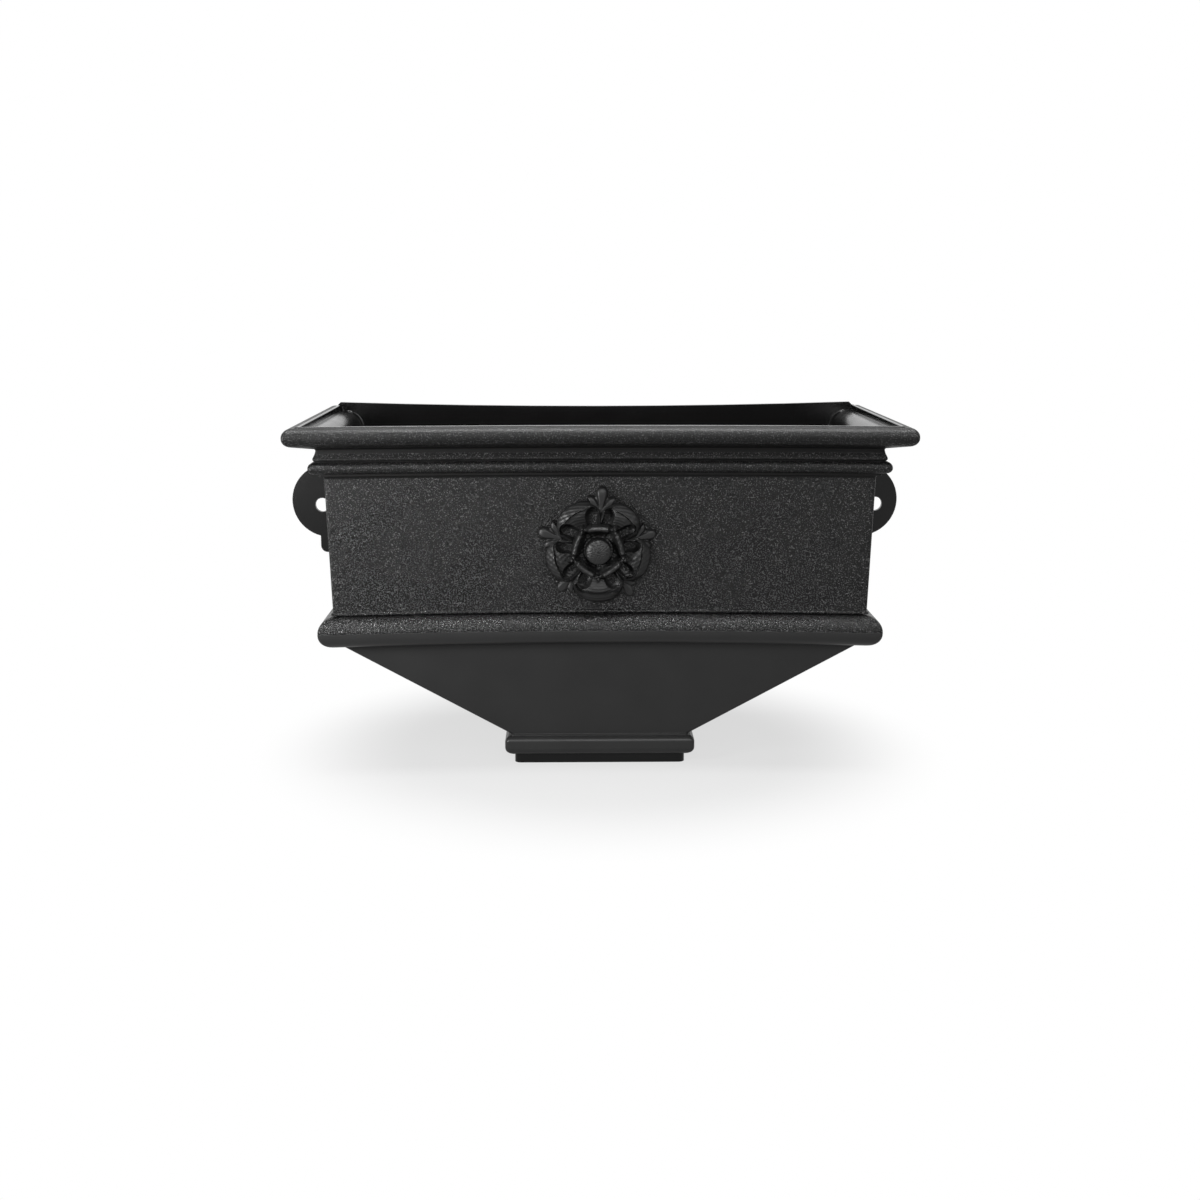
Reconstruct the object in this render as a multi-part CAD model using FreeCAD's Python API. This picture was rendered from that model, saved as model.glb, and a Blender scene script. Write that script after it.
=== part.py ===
import FreeCAD, Part
import math
import os

# A rectangular rainwater hopper head: an open moulded box with a flared rim, a rose on its front, screw
# lugs at its back, and a funnel below it that ends in a collar and a rectangular spigot. All lengths are in
# millimetres. X runs along the front, Y from the front to the wall, and Z up. The origin is on the outlet's
# axis, at the foot of the spigot. A profile point is (setback, height): its setback is measured inwards
# from the rim's nose, square to the front or to a side, so one profile serves the front and both sides.

Vec = FreeCAD.Vector

# Box and walls
rim_width = 320.0
rim_to_wall = 165.0
outlet_to_wall = 79.5
front_bow = 10.0
wall = 3.0
overrun = 12.0

# Heights, from the foot of the spigot upwards
spigot_drop = 5.3
collar_height = 10.5
neck_height = 1.2
funnel_height = 53.7
shoulder_height = 1.6
roll_radius = 7.95
quirk_height = 0.6
ledge_height = 1.4
face_height = 72.1
fillet_height = 1.4
bead_radius = 3.0
quirk_gap = 0.7
band_height = 5.4
rim_cove_height = 1.3
rim_underside_rise = 1.8
nose_radius = 4.6
lip_height = 0.5

# Setbacks from the rim's nose
lip_setback = 6.4
lip_thickness = 1.9
bead_setback = 10.8
band_bulge = 0.6
band_setback = 13.7
rim_cove_setback = 12.0
fillet_setback = 15.3
face_top_setback = 17.9
cove_width = 1.3
face_draft = 2.1
ledge_projection = 0.8
roll_setback = 12.7
funnel_setback = 23.9

# Inside of the rim
lead_in_drop = 2.1
lead_in_height = 14.3
lead_in_setback = 6.6

# Joint between the box and the funnel
tongue_height = 3.0
tongue_width = 2.4
tongue_setback = 16.8
joint_clearance = 0.15

# Outlet
spigot_width = 93.4
spigot_depth = 67.8
spigot_corner = 3.5
spigot_wall = 3.0
spigot_clearance = 0.1
neck_wall = 2.3
collar_projection = 2.9
collar_foot_inset = 2.6

# Back plate
plate_thickness = 3.0
plate_shift = -0.7
plate_inset = 6.5
plate_top_rise = 1.3
plate_top_sag = 2.4
plate_corner = 2.0
lug_radius = 22.1
lug_reach = 6.6
lug_drop = 58.8
lug_bevel = 0.4
wing_reach = 12.3
wing_drop = 31.3
wing_corner = 4.0
screw_hole = 8.4
screw_reach = 6.5
screw_shift = 2.35
screw_drop = 2.6

# Rose
rose_shift = -1.2
rose_below_middle = 3.95
petal_count = 5
petal_reach = 16.3
petal_radius = 10.5
petal_height = 6.5
petal_bevel = 2.0
petal_band = 4.6
petal_floor = 2.0
midrib_root = 1.2
midrib_tip = 6.0
cup_half_width = 12.4
cup_height = 10.0
cup_bevel = 1.2
boss_radius = 6.6
boss_base = 9.2
boss_crown_radius = 3.8
boss_height = 12.0
boss_groove = 1.9
boss_groove_floor = 5.5
leaf_root = 15.0
leaf_notch = 27.0
leaf_notch_half = 1.9
leaf_lobe = 28.6
leaf_lobe_half = 5.8
leaf_tip = 32.6
leaf_height = 4.5
peg_radius = 2.0
peg_spacing = 30.0
peg_inset = 0.3

# Heights and setbacks that follow from the sizes above
collar_z = spigot_drop
neck_z = collar_z + collar_height
funnel_z = neck_z + neck_height
shoulder_z = funnel_z + funnel_height
roll_foot_z = shoulder_z + shoulder_height
joint_z = roll_foot_z + roll_radius
roll_top_z = joint_z + roll_radius
ledge_z = roll_top_z + quirk_height
face_foot_z = ledge_z + ledge_height
fillet_z = face_foot_z + face_height
bead_z = fillet_z + fillet_height
bead_top_z = bead_z + 2 * bead_radius
band_z = bead_top_z + quirk_gap
band_top_z = band_z + band_height
rim_cove_z = band_top_z + rim_cove_height
nose_z = rim_cove_z + rim_underside_rise
crown_z = nose_z + 2 * nose_radius
lip_z = crown_z + lip_height

face_foot_setback = face_top_setback + face_draft
roll_centre_setback = roll_setback + roll_radius
draft_angle = math.atan2(face_draft, face_height)
wall_setback = wall / math.cos(draft_angle)

rim_half = rim_width / 2
wall_y = outlet_to_wall
plate_y = wall_y - plate_thickness
rim_corner_y = wall_y - rim_to_wall
rim_middle_y = rim_corner_y + front_bow
bow_radius = (rim_half**2 + front_bow**2) / (2 * front_bow)
bow_axis_y = rim_middle_y - bow_radius
rose_z = (face_foot_z + fillet_z) / 2 - rose_below_middle
spigot_half = (spigot_width / 2, spigot_depth / 2)
neck_half = [half + neck_wall for half in spigot_half]
socket_top_z = neck_z + neck_height - spigot_wall


def face_setback(z):
    """Setback of the outer face at a height: it leans in towards its foot."""
    return face_top_setback + face_draft * (fillet_z - z) / face_height


def arc_point(centre, radius, degrees):
    """Profile point on a round, at an angle from straight inwards, turning up."""
    angle = math.radians(degrees)
    return (centre[0] + radius * math.cos(angle), centre[1] + radius * math.sin(angle))


def profile_edges(profile, place):
    """Edges along a profile. A step is a point, or a pair of points for an arc through the first."""
    edges = []
    last = place(*profile[0])
    for step in profile[1:]:
        if isinstance(step[0], tuple):
            middle, end = place(*step[0]), place(*step[1])
            edges.append(Part.Arc(last, middle, end).toShape())
        else:
            end = place(*step)
            edges.append(Part.LineSegment(last, end).toShape())
        last = end
    return edges


def profile_ends(profile):
    """First and last point of a profile."""
    last = profile[-1]
    return profile[0], last[1] if isinstance(last[0], tuple) else last


def filled(edges, *corners):
    """Face inside a chain of edges that a few straight runs close."""
    edges = list(edges)
    for start, end in corners:
        edges.append(Part.LineSegment(start, end).toShape())
    return Part.Face(Part.Wire(Part.__sortEdges__(edges)))


def closed_run(corners):
    """Straight edges from corner to corner and back to the first."""
    return [Part.LineSegment(a, b).toShape() for a, b in zip(corners, corners[1:] + corners[:1])]


def between_sides(profile, right, left, run):
    """Solid between two sides of one profile, drawn by two place functions and extruded along a run."""
    top, foot = profile_ends(profile)
    edges = profile_edges(profile, right) + profile_edges(profile, left)
    face = filled(edges, (right(*top), left(*top)), (right(*foot), left(*foot)))
    return face.extrude(run)


def side_prism(profile, rear_y):
    """Solid between the two sides of the box, from before the front to rear_y."""
    front_y = rim_corner_y - overrun

    def right(setback, z):
        return Vec(rim_half - setback, front_y, z)

    def left(setback, z):
        return Vec(setback - rim_half, front_y, z)

    return between_sides(profile, right, left, Vec(0, rear_y - front_y, 0))


def front_sector(profile):
    """Solid behind a bowed front of the given profile, as deep as the box and wider than it."""

    def front(setback, z):
        return Vec(0, bow_axis_y + bow_radius + setback, z)

    top, foot = profile_ends(profile)
    deep = rim_to_wall + overrun + front_bow
    face = filled(
        profile_edges(profile, front),
        (front(*top), front(deep, top[1])),
        (front(deep, top[1]), front(deep, foot[1])),
        (front(deep, foot[1]), front(*foot)),
    )
    half_angle = math.degrees(math.asin((rim_half + overrun) / bow_radius))
    axis = Vec(0, bow_axis_y, 0)
    face.rotate(axis, Vec(0, 0, 1), -half_angle)
    return face.revolve(axis, Vec(0, 0, 1), 2 * half_angle)


def moulded_block(profile, rear_y=plate_y):
    """Block with one profile on its sides and its bowed front, mitred at the two front corners."""
    return side_prism(profile, rear_y).common(front_sector(profile))


def u_ring(setback, width, foot_z, top_z):
    """Upright rib of the given width that runs round both sides and the front."""
    outer = moulded_block([(setback, top_z), (setback, foot_z)])
    inner = moulded_block(
        [(setback + width, top_z + overrun), (setback + width, foot_z - overrun)], plate_y + overrun
    )
    return outer.cut(inner)


def outer_profile():
    """Outside of the box from the lip down to the joint."""
    nose = (nose_radius, nose_z + nose_radius)
    bead = (bead_setback + bead_radius, bead_z + bead_radius)
    roll = (roll_centre_setback, joint_z)
    band_middle = (band_setback - band_bulge, (band_z + band_top_z) / 2)
    return [
        (lip_setback, lip_z),
        (lip_setback, crown_z),
        (nose_radius, crown_z),
        (arc_point(nose, nose_radius, 180), arc_point(nose, nose_radius, 270)),
        (rim_cove_setback, rim_cove_z),
        (band_setback, band_top_z),
        (band_middle, (band_setback, band_z)),
        (band_setback + band_bulge, band_z),
        (band_setback + band_bulge, bead_top_z),
        (bead[0], bead_top_z),
        (arc_point(bead, bead_radius, 180), arc_point(bead, bead_radius, 270)),
        (fillet_setback, bead_z),
        (fillet_setback, fillet_z),
        (face_top_setback - cove_width, fillet_z),
        (face_setback(fillet_z - cove_width), fillet_z - cove_width),
        (face_foot_setback, face_foot_z),
        (face_foot_setback - ledge_projection, face_foot_z - ledge_projection),
        (face_foot_setback - ledge_projection, ledge_z),
        (roll_centre_setback, ledge_z),
        (roll_centre_setback, roll_top_z),
        (arc_point(roll, roll_radius, 135), arc_point(roll, roll_radius, 180)),
    ]


def lead_in_setback_end():
    """Setback where the rounded lead-in meets the inside of the wall."""
    return face_setback(lip_z - lead_in_drop - lead_in_height) + wall_setback


def inner_profile(foot_z):
    """Inside of the box: the lip, the rounded lead-in below it, and the drafted wall."""
    shelf_z = lip_z - lead_in_drop
    end_z = shelf_z - lead_in_height
    end = lead_in_setback_end()
    across = end - lead_in_setback
    lip_inside = lip_setback + lip_thickness

    def lead_in(share):
        # The lead-in is round, and share runs from 0 at its top to 1 at the wall.
        angle = math.radians(90 * share)
        return (lead_in_setback + across * math.sin(angle), end_z + lead_in_height * math.cos(angle))

    start_share = math.degrees(math.asin((lip_inside - lead_in_setback) / across)) / 90
    middle_share = (1 + start_share) / 2
    return [
        (lip_inside, lip_z + overrun),
        lead_in(start_share),
        (lead_in(middle_share), lead_in(1)),
        (face_setback(foot_z) + wall_setback, foot_z),
    ]


def rose_frame():
    """Place of the rose: its own Z points out of the leaning front, and its Y up along it."""
    origin = Vec(rose_shift, rim_middle_y + face_setback(rose_z), rose_z)
    turn = FreeCAD.Rotation(Vec(1, 0, 0), 90 + math.degrees(draft_angle))
    return FreeCAD.Placement(origin, turn)


def rose_pegs(radius, length):
    """Two pegs behind the rose, side by side, rooted in its petals."""
    root_z = petal_height / 2
    pegs = []
    for side in (-1, 1):
        start = Vec(side * peg_spacing / 2, 0, root_z)
        pegs.append(Part.makeCylinder(radius, root_z + length, start, Vec(0, 0, -1)))
    return pegs


def hopper_box():
    """Box moulding with its back and foot open: rim, beads, drafted walls and half of the base roll."""
    box = moulded_block(outer_profile())
    box = box.cut(moulded_block(inner_profile(joint_z - overrun), plate_y + overrun))
    groove = u_ring(
        tongue_setback - joint_clearance,
        tongue_width + 2 * joint_clearance,
        joint_z - overrun,
        joint_z + tongue_height + joint_clearance,
    )
    box = box.cut(groove)
    for hole in rose_pegs(peg_radius + joint_clearance, wall + overrun):
        hole.Placement = rose_frame()
        box = box.cut(hole)
    return box


def leaning_block(side, front, back):
    """Block whose sides, bowed front and back each lean on a line of their own, from its top to its foot.

    The lines of the sides and the front are setbacks at two heights, and the back's are places along Y.
    """
    top_z, foot_z = back[0][1], back[1][1]
    ahead = rim_corner_y - overrun
    outline = back + [(ahead, foot_z), (ahead, top_z)]
    rear = filled(closed_run([Vec(-rim_half, y, z) for y, z in outline])).extrude(Vec(rim_width, 0, 0))
    return side_prism(side, plate_y + overrun).common(front_sector(front)).common(rear)


def rounded_column(half_x, half_y, corner, foot_z, top_z):
    """Upright rectangular column with rounded corners."""
    column = Part.makeBox(2 * half_x, 2 * half_y, top_z - foot_z, Vec(-half_x, -half_y, foot_z))
    uprights = [edge for edge in column.Edges if edge.BoundBox.XLength + edge.BoundBox.YLength < corner]
    return column.makeFillet(corner, uprights)


def collar_block():
    """Neck and collar bead: one profile on all four sides, mitred at the corners."""
    half_x, half_y = neck_half
    reach = max(neck_half) + overrun
    profile = [
        (0, funnel_z),
        (0, neck_z),
        ((collar_projection, neck_z - collar_height / 2), (collar_projection - collar_foot_inset, collar_z)),
    ]
    ends = between_sides(
        profile,
        lambda out, z: Vec(half_x + out, -reach, z),
        lambda out, z: Vec(-half_x - out, -reach, z),
        Vec(0, 2 * reach, 0),
    )
    front_and_back = between_sides(
        profile,
        lambda out, z: Vec(-reach, half_y + out, z),
        lambda out, z: Vec(-reach, -half_y - out, z),
        Vec(2 * reach, 0, 0),
    )
    return ends.common(front_and_back)


def funnel_base():
    """Lower moulding: half of the base roll with its tongue, a rear flange, the funnel, neck and collar."""
    roll = (roll_centre_setback, joint_z)
    roll_profile = [
        arc_point(roll, roll_radius, 180),
        (arc_point(roll, roll_radius, 225), arc_point(roll, roll_radius, 270)),
        (funnel_setback, shoulder_z),
    ]
    half_x, half_y = neck_half
    side_foot = rim_half - half_x
    front_foot = math.hypot(half_x, bow_axis_y + half_y) - bow_radius
    side = [(funnel_setback, shoulder_z), (side_foot, funnel_z)]
    front = [(funnel_setback, shoulder_z), (front_foot, funnel_z)]
    back = [(plate_y, shoulder_z), (half_y, funnel_z)]
    outside = moulded_block(roll_profile).fuse([leaning_block(side, front, back), collar_block()])

    # A leaning wall takes more of a level cut than its own thickness.
    inset = [wall / math.sin(math.atan2(funnel_height, abs(b[0] - a[0]))) for a, b in (side, front, back)]
    hollow = leaning_block(
        [(setback + inset[0], z) for setback, z in side],
        [(setback + inset[1], z) for setback, z in front],
        [(y - inset[2], z) for y, z in back],
    )
    throat_depth = 2 * half_y - inset[1] - inset[2]
    throat_corner = Vec(inset[0] - half_x, inset[1] - half_y, collar_z)
    throat = Part.makeBox(2 * (half_x - inset[0]), throat_depth, funnel_z - collar_z, throat_corner)
    socket = rounded_column(
        spigot_half[0] + spigot_clearance,
        spigot_half[1] + spigot_clearance,
        spigot_corner + spigot_clearance,
        -overrun,
        socket_top_z,
    )
    inside = face_setback(joint_z) + wall_setback
    brim = (funnel_setback + inset[0], shoulder_z)
    upper_hollow = moulded_block([(inside, joint_z + overrun), (inside, joint_z), brim], plate_y - wall)
    tongue = u_ring(tongue_setback, tongue_width, joint_z - roll_radius / 2, joint_z + tongue_height)
    base = outside.cut([upper_hollow, hollow, throat, socket])
    return base.fuse(tongue.cut(upper_hollow)).removeSplitter()


def outlet_spigot():
    """Rectangular tube that stands in the collar's socket and enters the downpipe."""
    tube = rounded_column(*spigot_half, spigot_corner, 0, socket_top_z)
    bore = rounded_column(
        spigot_half[0] - spigot_wall,
        spigot_half[1] - spigot_wall,
        spigot_corner / 2,
        -overrun,
        socket_top_z + overrun,
    )
    return tube.cut(bore)


def plate_block(half_width, foot_z, top_z):
    """Block of the back plate's thickness."""
    corner = Vec(-half_width, plate_y, foot_z)
    return Part.makeBox(2 * half_width, plate_thickness, top_z - foot_z, corner)


def lug(x, z):
    """Round screw lug, bevelled round its front edge."""
    along = Vec(0, 1, 0)
    bevel = Part.makeCone(lug_radius - lug_bevel, lug_radius, lug_bevel, Vec(x, plate_y, z), along)
    disc = Part.makeCylinder(lug_radius, plate_thickness - lug_bevel, Vec(x, plate_y + lug_bevel, z), along)
    return bevel.fuse(disc)


def back_plate():
    """Flat plate behind the box: its top edge sags, and each side has a wing and a round screw lug."""
    top_z = lip_z + plate_top_rise
    half_width = rim_half - plate_inset
    lug_x, lug_z = half_width + lug_reach, top_z - lug_drop
    wing_z = lug_z - wing_drop
    crest_x = half_width - plate_corner

    def place(x, z):
        return Vec(x, plate_y, z)

    top_edge = [(-crest_x, top_z), ((0, top_z - plate_top_sag), (crest_x, top_z))]
    right = [(crest_x, top_z), (half_width, top_z - plate_corner), (half_width, wing_z)]
    left = [(-x, z) for x, z in right]
    edges = profile_edges(top_edge, place) + profile_edges(right, place) + profile_edges(left, place)
    body = filled(edges, (place(-half_width, wing_z), place(half_width, wing_z)))
    body = body.extrude(Vec(0, plate_thickness, 0))
    wings = plate_block(half_width + wing_reach, wing_z, lug_z)
    low_edges = [edge for edge in wings.Edges if edge.BoundBox.ZMax < lug_z]
    wings = wings.makeFillet(wing_corner, [edge for edge in low_edges if edge.BoundBox.XLength < wing_corner])

    # The foot closes the box's back down to the joint, and then lies on the funnel's rear flange.
    foot = [
        plate_block(rim_half - face_foot_setback, joint_z, wing_z),
        plate_block(rim_half - funnel_setback, shoulder_z, joint_z),
    ]
    plate = body.fuse([wings, lug(-lug_x, lug_z), lug(lug_x, lug_z)] + foot)
    drill = plate_thickness + 2 * overrun
    for side in (-1, 1):
        start = Vec(screw_shift + side * (lug_x + screw_reach), plate_y - overrun, lug_z - screw_drop)
        plate = plate.cut(Part.makeCylinder(screw_hole / 2, drill, start, Vec(0, 1, 0)))
    plate.translate(Vec(plate_shift, 0, 0))
    return plate.removeSplitter()


def at_angle(shape, degrees):
    """Shape drawn along X, turned round the rose's axis."""
    shape.rotate(Vec(0, 0, 0), Vec(0, 0, 1), degrees)
    return shape


def turned(profile, reach):
    """Solid turned round an upright axis at a reach along X. The profile runs from foot to top."""

    def place(out, z):
        return Vec(reach + out, 0, z)

    foot, top = profile_ends(profile)
    section = filled(profile_edges(profile, place), (place(*foot), place(*top)))
    return section.revolve(place(0, 0), Vec(0, 0, 1), 360)


def outer_petal():
    """Round petal along X: a raised band, bevelled outside, round a flat hollow."""
    band = petal_radius - petal_band
    profile = [
        (0, 0),
        (petal_radius, 0),
        (petal_radius, petal_height - petal_bevel),
        (petal_radius - petal_bevel, petal_height),
        (band, petal_height),
        (band, petal_floor),
        (0, petal_floor),
    ]
    return turned(profile, petal_reach)


def midrib():
    """Rib along X in the middle of an outer petal's hollow, wider towards the edge."""
    start, end = cup_half_width, petal_reach + petal_radius - petal_band / 2
    top_z = (petal_height + petal_floor) / 2
    root, tip = midrib_root / 2, midrib_tip / 2
    corners = [Vec(start, -root, 0), Vec(end, -tip, 0), Vec(end, tip, 0), Vec(start, root, 0)]
    return filled(closed_run(corners)).extrude(Vec(0, 0, top_z))


def inner_cup():
    """Five-sided ring of inner petals, bevelled outside, with a round well for the boss."""
    turn = 360 / petal_count
    corner_reach = cup_half_width / math.cos(math.radians(turn / 2))
    corners = [
        FreeCAD.Rotation(Vec(0, 0, 1), 90 + turn / 2 + index * turn).multVec(Vec(corner_reach, 0, 0))
        for index in range(petal_count)
    ]
    ring = filled(closed_run(corners)).extrude(Vec(0, 0, cup_height))
    top_edges = [edge for edge in ring.Edges if edge.BoundBox.ZMin > cup_height / 2]
    ring = ring.makeChamfer(cup_bevel, top_edges)
    return ring.cut(Part.makeCylinder(boss_radius + boss_groove, overrun, Vec(0, 0, boss_groove_floor)))


def boss():
    """Bevelled boss in the middle of the rose."""
    crown = (boss_crown_radius, boss_height)
    return turned([(0, 0), (boss_radius, 0), (boss_radius, boss_base), crown, (0, boss_height)], 0)


def leaf():
    """Leaf along X between two outer petals: a pointed middle lobe and a rounded lobe on each side."""
    lobe_middle = (leaf_lobe, (leaf_lobe_half + leaf_notch_half) / 2)
    half = [
        (leaf_root, 0),
        (leaf_notch, leaf_lobe_half),
        (lobe_middle, (leaf_notch, leaf_notch_half)),
        (leaf_lobe, leaf_notch_half),
        (leaf_tip, 0),
    ]
    edges = profile_edges(half, lambda x, y: Vec(x, y, 0)) + profile_edges(half, lambda x, y: Vec(x, -y, 0))
    return filled(edges).extrude(Vec(0, 0, leaf_height))


def rose_motif():
    """Rose: five petals round a cup with a domed boss in it, and leaves between the petals.

    Its back follows the bowed front that it is fixed to, and two pegs behind it enter the wall.
    """
    turn = 360 / petal_count
    leaves, petals = [], []
    for index in range(petal_count):
        leaf_angle = 90 + index * turn
        petal_angle = leaf_angle + turn / 2
        leaves.append(at_angle(leaf(), leaf_angle))
        petals += [at_angle(outer_petal(), petal_angle), at_angle(midrib(), petal_angle)]
    core = Part.makeCylinder(boss_radius + boss_groove, overrun)
    behind = Part.makeBox(2 * leaf_tip, 2 * leaf_tip, overrun, Vec(-leaf_tip, -leaf_tip, -overrun))
    flower = leaves[0].fuse(leaves[1:] + petals).cut([core, behind]).fuse([inner_cup(), boss()])
    pegs = rose_pegs(peg_radius, wall - peg_inset)
    for shape in [flower] + pegs:
        shape.Placement = rose_frame()
    return flower.cut(moulded_block(outer_profile())).fuse(pegs).removeSplitter()


pieces = {
    "hopper_box": hopper_box,
    "funnel_base": funnel_base,
    "outlet_spigot": outlet_spigot,
    "back_plate": back_plate,
    "rose_motif": rose_motif,
}

os.makedirs("parts", exist_ok=True)
for name, make in pieces.items():
    shape = make()
    shape.exportStep(f"parts/{name}.step")
    box = shape.optimalBoundingBox()
    low = [round(value, 1) for value in (box.XMin, box.YMin, box.ZMin)]
    high = [round(value, 1) for value in (box.XMax, box.YMax, box.ZMax)]
    state = f"{len(shape.Solids)} solid, valid {shape.isValid()}, {shape.Volume:.0f} mm3"
    print(f"{name}: {state}, {low} to {high}")
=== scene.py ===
import math

import bpy
import numpy as np
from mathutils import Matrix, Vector


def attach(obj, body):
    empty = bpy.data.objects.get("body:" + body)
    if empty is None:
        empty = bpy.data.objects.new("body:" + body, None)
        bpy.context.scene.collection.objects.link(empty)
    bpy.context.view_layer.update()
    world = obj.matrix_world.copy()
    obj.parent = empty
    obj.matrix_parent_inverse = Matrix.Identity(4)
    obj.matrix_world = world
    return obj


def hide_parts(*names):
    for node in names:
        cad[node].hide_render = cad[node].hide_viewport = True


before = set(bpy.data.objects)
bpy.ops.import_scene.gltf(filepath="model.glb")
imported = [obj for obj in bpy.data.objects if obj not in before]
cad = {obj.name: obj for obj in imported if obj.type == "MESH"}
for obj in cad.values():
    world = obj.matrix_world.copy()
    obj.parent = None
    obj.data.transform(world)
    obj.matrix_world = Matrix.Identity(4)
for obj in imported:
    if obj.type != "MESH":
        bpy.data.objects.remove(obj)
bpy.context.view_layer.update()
MM = 0.001


# Box moulding. The real piece is one injection moulding of black plastic, open at its top, foot and back.
# Its rim, two beads, drafted wall and half roll are one profile, carried round both sides and the front,
# which bows inwards. Outside it has the grain of sand-cast iron, and inside it is glossy.

RIM_HALF = 160.0 * MM
FRONT_MIDDLE = -75.5 * MM
BOW_RADIUS = 1285.0 * MM
BACK = 76.5 * MM
CORNER_ROUND = 1.3 * MM
FACE_TOP_SETBACK = 17.85  # in millimetres, as the profile's corners are
FACE_TOP_HEIGHT = 162.2

# Corners of the profile: setback from the rim's nose, height, and radius, in millimetres.
BOX_INSIDE = [(23.3, 80.3, 0.2), (20.5, 185.2, 11.9), (8.3, 185.2, 0.15)]
BOX_LIP = [(8.3, 188.5, 0.4), (6.5, 188.5, 0.5), (6.5, 187.1, 0.15), (5.9, 187.1, 0.15), (5.7, 188.0, 0.25)]
BOX_RIM = [(0, 188.0, 4.5), (0, 179.3, 4.5), (14.7, 176.4, 1.0)]
BOX_UPPER_BEAD = [(14.2, 174.2, 4.0), (12.7, 170.8, 1.2), (14.7, 169.8, 0.2)]
BOX_LOWER_BEAD = [(10.8, 169.7, 2.9), (10.8, 163.7, 2.9), (15.4, 163.7, 0.3), (15.4, FACE_TOP_HEIGHT, 0.3)]
BOX_FACE = [(FACE_TOP_SETBACK, FACE_TOP_HEIGHT, 1.6), (20.0, 90.5, 0.2), (19.1, 90.1, 0.8)]
BOX_ROLL = [(19.1, 88.9, 0.3), (21.4, 88.8, 0.1), (21.4, 88.2, 0.1), (12.7, 88.2, 7.8), (12.7, 80.3, 0.12)]


def rounded_outline(corners, steps):
    """Closed outline of straight runs with an arc of `steps` points at each corner.

    Where two runs meet at an angle A, the arc of radius r leaves each run r / tan(A / 2) before the corner.
    Its centre lies on the line that halves the angle, r / sin(A / 2) from the corner, and it turns evenly.
    """
    corners = np.array(corners, float)
    place, radius = corners[:, :2], corners[:, 2:]
    back = np.roll(place, 1, 0) - place
    ahead = np.roll(place, -1, 0) - place
    back /= np.linalg.norm(back, axis=1, keepdims=True)
    ahead /= np.linalg.norm(ahead, axis=1, keepdims=True)
    half = np.arccos(np.clip((back * ahead).sum(1, keepdims=True), -1, 1)) / 2
    middle = back + ahead
    middle /= np.linalg.norm(middle, axis=1, keepdims=True)
    centre = place + middle * radius / np.sin(half)
    leave = place + back * radius / np.tan(half) - centre
    arrive = place + ahead * radius / np.tan(half) - centre
    turn = (math.pi - 2 * half)[:, None]
    share = np.linspace(0, 1, steps)[None, :, None]
    from_leave = np.sin((1 - share) * turn) * leave[:, None]
    to_arrive = np.sin(share * turn) * arrive[:, None]
    arc = (from_leave + to_arrive) / np.sin(turn)
    return (centre[:, None] + arc).reshape(-1, 2)


def half_plan(half, middle, bow, back, front_round, back_round):
    """Left half of each level's plan, from the back's middle, by the side, to the middle of the front.

    The front is an arc of radius `bow` whose centre stands before it, so it bows inwards. Its corner is
    an arc that touches the side and the front: its centre is front_round from the side and bow +
    front_round from the front's centre. Each argument is one number per level, or one for them all.
    """
    given = (half, middle, bow, back, front_round, back_round)
    columns = [np.broadcast_to(value, np.shape(half))[:, None] for value in given]
    half, middle, bow, back, front_round, back_round = columns
    along = np.linspace(0, 1, 5)[None, :-1]
    back_x, back_y = -(half - back_round) * along, back + 0 * along
    turn = np.linspace(math.pi / 2, math.pi, 7)[None, :]
    rear_x = -half + back_round + back_round * np.cos(turn)
    rear_y = back - back_round + back_round * np.sin(turn)
    centre_x = -(half - front_round)
    axis_y = middle - bow
    reach = np.sqrt((bow + front_round) ** 2 - centre_x**2)
    lean = np.arctan2(-centre_x, reach)
    turn = math.pi + (math.pi / 2 + lean) * np.linspace(0, 1, 9)[None, :]
    front_x = centre_x + front_round * np.cos(turn)
    front_y = axis_y + reach + front_round * np.sin(turn)
    sweep = -lean * np.linspace(1, 0, 31)[None, 1:]
    bow_x, bow_y = bow * np.sin(sweep), axis_y + bow * np.cos(sweep)
    x = np.concatenate([back_x, rear_x, front_x, bow_x], 1)
    y = np.concatenate([back_y, rear_y, front_y, bow_y], 1)
    return np.stack([x, y], -1)


SIDE_START = 10  # the station of half_plan where the side leaves the back


def both_halves(left):
    """The left half of a plan and its mirror image, run on from the middle of the front."""
    right = left[:, ::-1].copy()
    right[..., 0] *= -1
    return np.concatenate([left, right[:, 1:]], 1)


def raised(plan, height):
    """Points of a plan at one height for each level."""
    level = np.broadcast_to(height[:, None, None], plan.shape[:2] + (1,))
    return np.concatenate([plan, level], -1)


def grid_faces(rows, columns, rows_close, columns_close):
    """Four-cornered faces of a grid of rows by columns, each way open or closed."""
    row = np.arange(rows if rows_close else rows - 1)[:, None]
    column = np.arange(columns if columns_close else columns - 1)[None, :]
    below, right = (row + 1) % rows, (column + 1) % columns
    upper = [row * columns + column, row * columns + right]
    lower = [below * columns + right, below * columns + column]
    return np.stack(upper + lower, -1).reshape(-1, 4)


def add_piece(name, points, quads, caps=(), finish=None, crease=40):
    """Smooth mesh of points, quads and many-sided caps, with edges over `crease` degrees left sharp."""
    mesh = bpy.data.meshes.new(name)
    faces = quads.tolist() + [list(map(int, cap)) for cap in caps]
    mesh.from_pydata(points.reshape(-1, 3).tolist(), [], faces)
    mesh.validate()
    if finish is not None:
        shares = np.concatenate([finish, np.zeros(len(caps), int)]).astype(np.int32)
        mesh.polygons.foreach_set("material_index", shares)
    mesh.shade_smooth()
    mesh.set_sharp_from_angle(angle=math.radians(crease))
    piece = bpy.data.objects.new(name, mesh)
    bpy.context.scene.collection.objects.link(piece)
    even = piece.modifiers.new("flat faces keep flat shading", "WEIGHTED_NORMAL")
    even.keep_sharp = True
    return piece


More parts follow.
